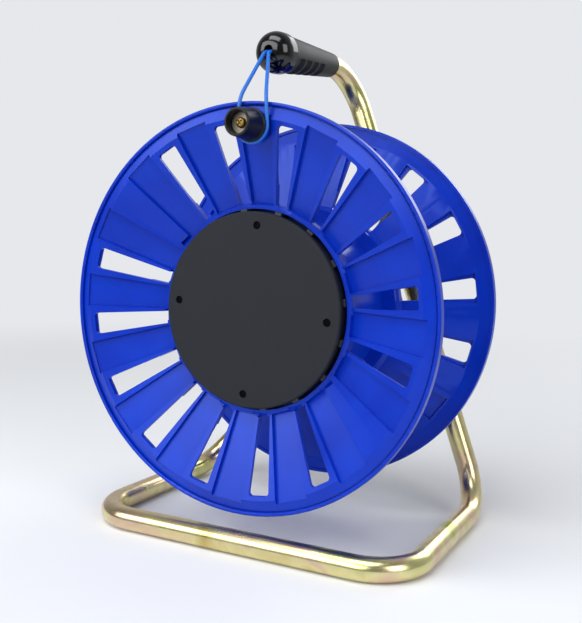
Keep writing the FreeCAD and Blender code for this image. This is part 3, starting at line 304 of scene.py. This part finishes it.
@dataclass(frozen=True)
class BraidedElastic(Finish):
    """Elastic cord: a thin braid over rubber, seen as fine slanting ribs.

    Blender's wave repeats every 0.63 of wave_mm, so the ribs stand 2.1 mm apart. The real ones are
    about twice as close, which the render would lose.
    """

    # Blues for the ribs: dark is painted shade for the grooves, and light is painted light for the crests.
    dark: str = "#0b4fb0"
    light: str = "#1f7be0"
    wave_mm: float = 3.4
    rib_depth: float = 0.3

    def build(self) -> bpy.types.Material:
        """Make the braid's ribs in relief, with painted shade in their grooves and painted light on their
        crests.

        Returns:
            The finished material.
        """
        blank = self.start()
        ribs = add_node(blank.tree, "ShaderNodeTexWave",
                        {"Scale": 1 / (self.wave_mm * MM), "Distortion": 1.5, "bands_direction": "DIAGONAL"},
                        {"Vector": blank.place})
        # The same wave gives both colour and relief, so the grooves are painted in shade and the crests in
        # light.
        tone = ramped(blank.tree, ribs.outputs["Fac"], ((0.0, self.dark), (1.0, self.light)))
        blank.tree.links.new(tone, blank.shader.inputs["Base Color"])
        blank.shader.inputs["Roughness"].default_value = self.roughness
        bump = add_node(blank.tree, "ShaderNodeBump",
                        {"Strength": self.rib_depth, "Distance": self.relief_mm * MM},
                        {"Height": ribs.outputs["Fac"]})
        blank.tree.links.new(bump.outputs["Normal"], blank.shader.inputs["Normal"])
        return blank.material


class Palette:
    """All the finishes, built once."""

    def __init__(self) -> None:
        """Build each material under its record slot, or a key of its own where a slot's nodes differ."""
        finishes: dict[str, Finish] = {
            # Polypropylene from a polished mould: a clear royal blue with a broad, blue-tinted gloss.
            "drum_plastic": MouldedPolypropylene(
                "blue_polypropylene", "#0030be", 0.30, mottle=0.03, grain_mm=0.9, grain_depth=0.012,
                ior=1.49, gloss_level=0.6, gloss_tint="#a9c0ff"),
            # Drawn steel tube, plated and chromated: a hard gold shine, with long highlights on the bends.
            "zinc_steel": ChromatedZinc(
                "yellow_chromated_zinc", "#d6cf9e", 0.25, mottle=0.06, grain_mm=1.2, metallic=1.0),
            # ABS from a spark-grained mould: flat charcoal with hardly a highlight.
            "cover_plastic": Finish(
                "grained_charcoal_ABS", "#1c1f25", 0.62, grain_mm=0.7, grain_depth=0.35, gloss_level=0.25),
            # Glass-filled polyamide: black with a grey bloom where light grazes it.
            "hub_plastic": Finish(
                "black_polyamide", "#1c1d20", 0.4, grain_mm=0.8, grain_depth=0.15, gloss_level=0.8),
            # Moulded rubber: soft black, with a pale haze along the top and no sharp highlight.
            "grip_rubber": Finish(
                "matt_black_rubber", "#1c1e21", 0.55, grain_mm=0.7, grain_depth=0.2, gloss_level=0.35),
            # ABS from a mirror-finished mould: deep black that shows the lamps as crisp windows.
            "cap_plastic": Finish(
                "polished_black_ABS", "#030304", 0.13, mottle=0.02, grain_depth=0.01, gloss_level=0.6),
            # Polyamide from a satin mould: near black with one soft highlight down the side.
            "knob_plastic": Finish(
                "satin_black_polyamide", "#0a0c14", 0.38, grain_depth=0.06, gloss_level=0.3),
            # Turned and zinc-plated steel: bright grey with fine rings.
            "steel": Finish(
                "bright_zinc_plated_steel", "#c9c6bf", 0.30, grain=Grain.TURNED, metallic=1.0),
            # Brass dulled by handling: warm brown gold in the knob's tip.
            "brass": Finish("dull_brass", "#8c7440", 0.40, grain=Grain.TURNED, metallic=1.0),
            # Zinc plating that has oxidised: a warm mid grey, so that the brass stands out on it.
            "dull_zinc": Finish(
                "dull_zinc_plated_steel", "#8f877a", 0.45, grain=Grain.TURNED, metallic=1.0),
            # Unfilled acetal: milky off-white, for the bushes inside the hub.
            "bearing_plastic": Finish("natural_acetal", "#dcdacf", 0.4),
            # Elastic cord: a lighter blue than the drum's, dull and ribbed, with painted shade in the
            # grooves and painted light on the crests.
            "strap_cord": BraidedElastic("braided_elastic", "#1766cc", 0.42),
            # Steel blackened in an oxide bath: dark screws that look like holes in the cover.
            "black_screws": Finish("black_oxide_steel", "#101012", 0.45, metallic=1.0),
        }
        self.materials = {slot: finish.build() for slot, finish in finishes.items()}

    def dress(self, piece: bpy.types.Object, slot: str) -> None:
        """Give a piece its one material.

        Args:
            piece: A mesh or curve object.
            slot: The finish's key in the palette.
        """
        piece.data.materials.clear()
        piece.data.materials.append(self.materials[slot])


class Workbench:
    """Small steps that every sub-assembly uses."""

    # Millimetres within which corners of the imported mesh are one, and degrees within which its
    # triangles are one flat face.
    SAME_CORNER: float = 0.002
    SAME_FACE: float = 0.6

    def __init__(self, frame: dict, palette: Palette) -> None:
        """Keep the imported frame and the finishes.

        Args:
            palette: The finishes.
        """
        self.frame = frame
        self.palette = palette
        record = frame["record"]
        self.slots: dict[str, str] = {part["node"]: part["material_slot"] for part in record["subparts"]}
        self.bodies: dict[str, str] = {
            node: body for body, nodes in record["behaviour"]["bodies"].items() for node in nodes}

    def select_only(self, piece: bpy.types.Object) -> None:
        """Make one piece the only selected and the active one.

        Args:
            piece: The piece.
        """
        bpy.ops.object.select_all(action="DESELECT")
        piece.select_set(True)
        bpy.context.view_layer.objects.active = piece

    def copied(self, node: str) -> bpy.types.Object:
        """Copy a CAD node and merge its loose triangles into whole faces.

        Args:
            node: The CAD node.

        Returns:
            The copy, selected.
        """
        piece = bpy.data.objects.new(f"{node}_finished", self.frame["nodes"][node].data.copy())
        bpy.context.scene.collection.objects.link(piece)
        self.select_only(piece)
        bpy.ops.object.mode_set(mode="EDIT")
        bpy.ops.mesh.select_all(action="SELECT")
        bpy.ops.mesh.remove_doubles(threshold=self.SAME_CORNER * MM)
        bpy.ops.mesh.dissolve_limited(angle_limit=math.radians(self.SAME_FACE))
        bpy.ops.object.mode_set(mode="OBJECT")
        return piece

    def rounded(self, piece: bpy.types.Object, edge_mm: float, segments: int, sharp: float) -> None:
        """Round the sharp edges of the selected piece and shade its flat faces flat.

        Args:
            piece: The selected piece.
            edge_mm: Width of the rounded edges.
            segments: Steps across each rounded edge.
            sharp: Degrees from which an edge is rounded.
        """
        angle = math.radians(sharp)
        bpy.ops.object.shade_smooth_by_angle(angle=angle)
        edge = piece.modifiers.new("edge", "BEVEL")
        edge.width = edge_mm * MM
        edge.segments = segments
        edge.limit_method = "ANGLE"
        edge.angle_limit = angle
        bpy.ops.object.modifier_apply(modifier="edge")
        bpy.ops.object.shade_smooth_by_angle(angle=angle)
        flats = piece.modifiers.new("flats", "WEIGHTED_NORMAL")
        flats.keep_sharp = True
        bpy.ops.object.modifier_apply(modifier="flats")

    def moulded(self, node: str, edge_mm: float, segments: int = 2, sharp: float = 30.0) -> None:
        """Let a copy with rounded edges, as a mould or a tool leaves them, stand for a CAD node.

        Args:
            node: The CAD node.
            edge_mm: Width of the rounded edges.
            segments: Steps across each rounded edge.
            sharp: Degrees from which an edge is rounded.
        """
        piece = self.copied(node)
        self.rounded(piece, edge_mm, segments, sharp)
        self.palette.dress(piece, self.slots[node])
        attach(piece, self.bodies[node])
        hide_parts(node)
        log.info("finished %s", node)

    def plain(self, node: str, finish: str = "") -> None:
        """Keep a CAD node as it is, with its material.

        Args:
            node: The CAD node.
            finish: The finish's key, where it isn't the record's slot.
        """
        self.palette.dress(self.frame["nodes"][node], finish or self.slots[node])
        log.info("dressed %s", node)


@dataclass
class ParkingStrap:
    """Elastic cord from the cap's hole, round the knob's neck and back.

    The route's places are (side, depth, rise) for at(). held_from lies in the hole, and free_from
    at the hole's mouth.
    """

    bench: Workbench
    diameter: float = 3.0
    length: float = 207.0
    round_steps: int = 5
    span_steps: int = 16
    held_from: Triple = (0.0, 39.5, 204.0)
    free_from: Triple = (0.0, 32.5, 203.0)
    route: list[Triple] = field(default_factory=lambda: [
        (-1.6, 42.19, 204.10),
        (-1.6, 33.49, 203.10),
        (-1.66, 27.7, 196.6),
        (-1.87, 8.7, 175.6),
        (-2.0, -3.3, 162.2),
        (-3.1, -3.3, 147.7),
        (-3.9, -3.3, 136.6),
        (3.7, -3.3, 128.4),
        (14.8, -3.3, 128.4),
        (22.4, -3.3, 136.6),
        (21.7, -3.3, 147.7),
        (20.6, -3.3, 162.2),
        (14.7, 8.1, 174.85),
        (4.4, 28.0, 197.0),
        (1.6, 33.49, 203.10),
        (1.6, 42.19, 204.10),
    ])

    def route_curve(self) -> bpy.types.Object:
        """Draw the route as one smooth open curve.

        Returns:
            The curve's object, with no thickness.
        """
        curve = bpy.data.curves.new("strap_route", "CURVE")
        curve.dimensions = "3D"
        curve.bevel_resolution = self.round_steps
        curve.resolution_u = self.span_steps
        curve.use_fill_caps = True
        spline = curve.splines.new("NURBS")
        spline.points.add(len(self.route) - 1)
        for point, place in zip(spline.points, self.route):
            point.co = (*at(*place), 1.0)
        spline.order_u = 3
        spline.use_endpoint_u = True
        route = bpy.data.objects.new("strap_route", curve)
        bpy.context.scene.collection.objects.link(route)
        return route

    def as_mesh(self, route: bpy.types.Object, thickness: float) -> bpy.types.Mesh:
        """Turn the route into a mesh, a tube where it has a thickness.

        Args:
            route: The curve's object.
            thickness: Diameter in millimetres, or 0 for the bare line.

        Returns:
            The mesh.
        """
        route.data.bevel_depth = thickness / 2 * MM
        bpy.context.view_layer.update()
        seen = route.evaluated_get(bpy.context.evaluated_depsgraph_get())
        return bpy.data.meshes.new_from_object(seen)

    def build(self) -> None:
        route = self.route_curve()
        path = [tuple(vertex.co) for vertex in self.as_mesh(route, 0.0).vertices]
        cord = bpy.data.objects.new("parking_strap", self.as_mesh(route, self.diameter))
        bpy.context.scene.collection.objects.link(cord)
        bpy.data.objects.remove(route)
        self.bench.select_only(cord)
        bpy.ops.object.shade_smooth()
        self.bench.palette.dress(cord, "strap_cord")
        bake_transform(cord)
        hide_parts("strap")
        log.info("laid the strap")


@dataclass
class Drum:
    """Flanges, barrel and hub, with the pieces inside them, and the edge that its mould left on each."""

    bench: Workbench
    edges_mm: dict[str, float] = field(default_factory=lambda: {
        "front_flange": 0.6,
        "rear_flange": 0.6,
        "barrel": 0.3,
        "hub_housing": 0.4,
        "hub_cover": 0.5,
        "rear_hub": 0.5,
    })
    inner: tuple[str, ...] = ("housing_screws", "rear_hub_screws", "front_bearing", "rear_bearing")

    def build(self) -> None:
        """Finish the shells and dress the small pieces."""
        for node, edge in self.edges_mm.items():
            self.bench.moulded(node, edge)
        for node in self.inner:
            self.bench.plain(node)
        self.bench.plain("cover_screws", "black_screws")


@dataclass
class Stand:
    """Bent tube with its grip, axle and fasteners.

    tube_sharp is higher than elsewhere, to leave the facets of the tube's bends alone.
    """

    bench: Workbench
    tube_edge_mm: float = 0.3
    tube_sharp: float = 40.0
    grip_edge_mm: float = 0.6
    cap_edge_mm: float = 0.4
    grip_steps: int = 3
    metal: tuple[str, ...] = ("strap_pin", "axle", "axle_spacer", "saddle_washer", "axle_nut",
                              "brace_bolt", "brace_nut", "thrust_washer", "retaining_ring")

    def build(self) -> None:
        """Finish the tube and the grip and dress the rest."""
        self.bench.moulded("tube_frame", self.tube_edge_mm, sharp=self.tube_sharp)
        self.bench.moulded("grip", self.grip_edge_mm, self.grip_steps)
        self.bench.moulded("grip_cap", self.cap_edge_mm, self.grip_steps)
        for node in self.metal:
            self.bench.plain(node)


@dataclass
class CrankKnob:
    """Turned knob with its collar and hollow tip, and what holds it on the flange."""

    bench: Workbench
    edge_mm: float = 0.35
    edge_steps: int = 3
    inner: tuple[str, ...] = ("knob_sleeve", "knob_screw", "knob_nut")

    def build(self) -> None:
        """Finish the knob and dress its metal."""
        self.bench.moulded("crank_knob", self.edge_mm, self.edge_steps)
        for node in self.inner:
            self.bench.plain(node)
        self.bench.plain("knob_washer", "dull_zinc")


@dataclass(frozen=True)
class SoftLamp:
    """One studio lamp: its name, where it hangs, its width and height, its power and where it aims."""

    name: str
    place: Triple
    width: float
    height: float
    watts: float
    aim: Triple = (0.0, 0.0, 0.2)

    def hang(self) -> None:
        """Add the lamp, turned to its aim."""
        data = bpy.data.lights.new(self.name, "AREA")
        data.shape = "RECTANGLE"
        data.size = self.width
        data.size_y = self.height
        data.energy = self.watts
        lamp = bpy.data.objects.new(self.name, data)
        lamp.location = self.place
        lamp.rotation_euler = (Vector(self.aim) - Vector(self.place)).to_track_quat("-Z", "Y").to_euler()
        bpy.context.scene.collection.objects.link(lamp)


@dataclass
class Studio:
    """Pale sweep, lamps, world and the photograph's camera.

    The camera's place is millimetres for at(), its angles are degrees, and the studio's own sizes are
    metres. The floor turns into the backdrop between the two distances of fade. Of the levels, 1 is
    white: air_level lights the object, and mirrored rays see mirror_level in front and backdrop_level
    behind, changing over between the two parts of a way along Y that room_depth gives.
    """

    yaw: float = 27.28
    pitch: float = 5.31
    roll: float = 1.38
    camera_place: Triple = (339.4, -572.9, 63.2)
    focal_px: float = 866.35
    image_width_px: int = 582
    sensor_mm: float = 36.0
    nearest: float = 0.01
    floor_shade: str = "#e9ebee"
    floor_roughness: float = 0.9
    floor_side: float = 40.0
    fade: tuple[float, float] = (0.5, 1.7)
    backdrop_shade: str = "#e6e8ec"
    air_level: float = 0.28
    mirror_level: float = 0.2
    backdrop_level: float = 0.65
    room_depth: tuple[float, float] = (-0.2, 0.6)
    lamps: tuple[SoftLamp, ...] = (
        SoftLamp("key_softbox", (-0.72, -1.55, 1.03), 2.4, 1.0, 29.0),
        SoftLamp("overhead_softbox", (-0.1, -0.85, 1.95), 1.5, 0.9, 20.0),
        SoftLamp("fill_softbox", (1.75, -0.8, 0.9), 1.0, 1.3, 14.0),
        SoftLamp("back_softbox", (0.5, 1.6, 1.2), 1.4, 1.0, 12.0),
    )

    def build(self) -> None:
        """Set up the whole studio."""
        self.sweep()
        self.world()
        for lamp in self.lamps:
            lamp.hang()
        self.camera()
        bpy.context.scene.view_settings.view_transform = "Standard"
        log.info("set up the studio")

    def sweep(self) -> None:
        """Lay the floor, which takes the object's shadow and fades into the backdrop further out."""
        bpy.ops.object.select_all(action="DESELECT")
        bpy.ops.mesh.primitive_plane_add(size=self.floor_side, location=(0, 0, 0))
        floor = bpy.context.active_object
        floor.name = "studio_floor"
        # Matt studio paper: no gloss, so that only the shadow is seen on it.
        paper = Finish("studio_paper", self.floor_shade, self.floor_roughness, gloss_level=0.0)
        blank = paper.start()
        paper.coloured(blank)
        blank.shader.inputs["Roughness"].default_value = paper.roughness
        near, far = self.fade
        reach = add_node(blank.tree, "ShaderNodeVectorMath", {"operation": "LENGTH"}, {0: blank.place})
        fade = add_node(blank.tree, "ShaderNodeMapRange",
                        {"interpolation_type": "SMOOTHSTEP", "From Min": near, "From Max": far},
                        {"Value": reach.outputs["Value"]})
        glow = add_node(blank.tree, "ShaderNodeEmission", {"Color": linear(self.backdrop_shade)},
                        {"Strength": self.level(blank.tree, blank.place)})
        sheet = add_node(blank.tree, "ShaderNodeMixShader", None,
                         {"Fac": fade.outputs["Result"], 1: blank.shader.outputs["BSDF"],
                          2: glow.outputs["Emission"]})
        output = blank.tree.nodes["Material Output"]
        blank.tree.links.new(sheet.outputs["Shader"], output.inputs["Surface"])
        floor.data.materials.append(blank.material)

    def level(self, tree: bpy.types.NodeTree, way: bpy.types.NodeSocket) -> bpy.types.NodeSocket:
        """Set how bright the studio is to the camera, to mirrored rays and to the rest.

        Args:
            tree: The tree of the floor or the world.
            way: Socket of the way in which a place of the studio lies, seen from the object.

        Returns:
            The strength's socket.
        """
        rays = add_node(tree, "ShaderNodeLightPath")
        unit = add_node(tree, "ShaderNodeVectorMath", {"operation": "NORMALIZE"}, {0: way})
        parts = add_node(tree, "ShaderNodeSeparateXYZ", None, {"Vector": unit.outputs["Vector"]})
        front, behind = self.room_depth
        room = add_node(tree, "ShaderNodeMapRange",
                        {"From Min": front, "From Max": behind,
                         "To Min": self.mirror_level, "To Max": self.backdrop_level},
                        {"Value": parts.outputs["Y"]})
        mirrored = add_node(tree, "ShaderNodeMath", {"operation": "MAXIMUM"},
                            {0: rays.outputs["Is Glossy Ray"], 1: rays.outputs["Is Transmission Ray"]})
        beyond = add_node(tree, "ShaderNodeMapRange", {"To Min": self.air_level},
                          {"Value": mirrored.outputs["Value"], "To Max": room.outputs["Result"]})
        strength = add_node(tree, "ShaderNodeMath", {"operation": "MAXIMUM"},
                            {0: rays.outputs["Is Camera Ray"], 1: beyond.outputs["Result"]})
        return strength.outputs["Value"]

    def world(self) -> None:
        """Light from all round, and a pale background for the camera and for reflections."""
        world = bpy.data.worlds.new("studio_air")
        bpy.context.scene.world = world
        world.use_nodes = True
        tree = world.node_tree
        background = tree.nodes["Background"]
        sky = add_node(tree, "ShaderNodeTexCoord")
        tree.links.new(self.level(tree, sky.outputs["Generated"]), background.inputs["Strength"])
        background.inputs["Color"].default_value = linear(self.backdrop_shade)

    def camera(self) -> None:
        """Place the camera where the photograph was taken from."""
        yaw, pitch, roll = (math.radians(angle) for angle in (self.yaw, self.pitch, self.roll))
        ahead = Vector((-math.sin(yaw) * math.cos(pitch), math.cos(yaw) * math.cos(pitch),
                        -math.sin(pitch)))
        right = Vector((math.cos(yaw), math.sin(yaw), 0))
        up = right.cross(ahead)
        right, up = (right * math.cos(roll) + up * math.sin(roll),
                     up * math.cos(roll) - right * math.sin(roll))
        data = bpy.data.cameras.new("photo_camera")
        data.sensor_fit = "HORIZONTAL"
        data.sensor_width = self.sensor_mm
        data.lens = self.sensor_mm * self.focal_px / self.image_width_px
        data.clip_start = self.nearest
        camera = bpy.data.objects.new("photo_camera", data)
        turn = Matrix((right, up, -ahead)).transposed().to_4x4()
        camera.matrix_world = Matrix.Translation(at(*self.camera_place)) @ turn
        bpy.context.scene.collection.objects.link(camera)
        bpy.context.scene.camera = camera


def main() -> None:
    """Build the sub-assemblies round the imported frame."""
    logging.basicConfig(level=logging.INFO)
    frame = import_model()
    bench = Workbench(frame, Palette())
    Studio().build()
    ParkingStrap(bench).build()
    Drum(bench).build()
    Stand(bench).build()
    CrankKnob(bench).build()


if __name__ == "__main__":
    main()
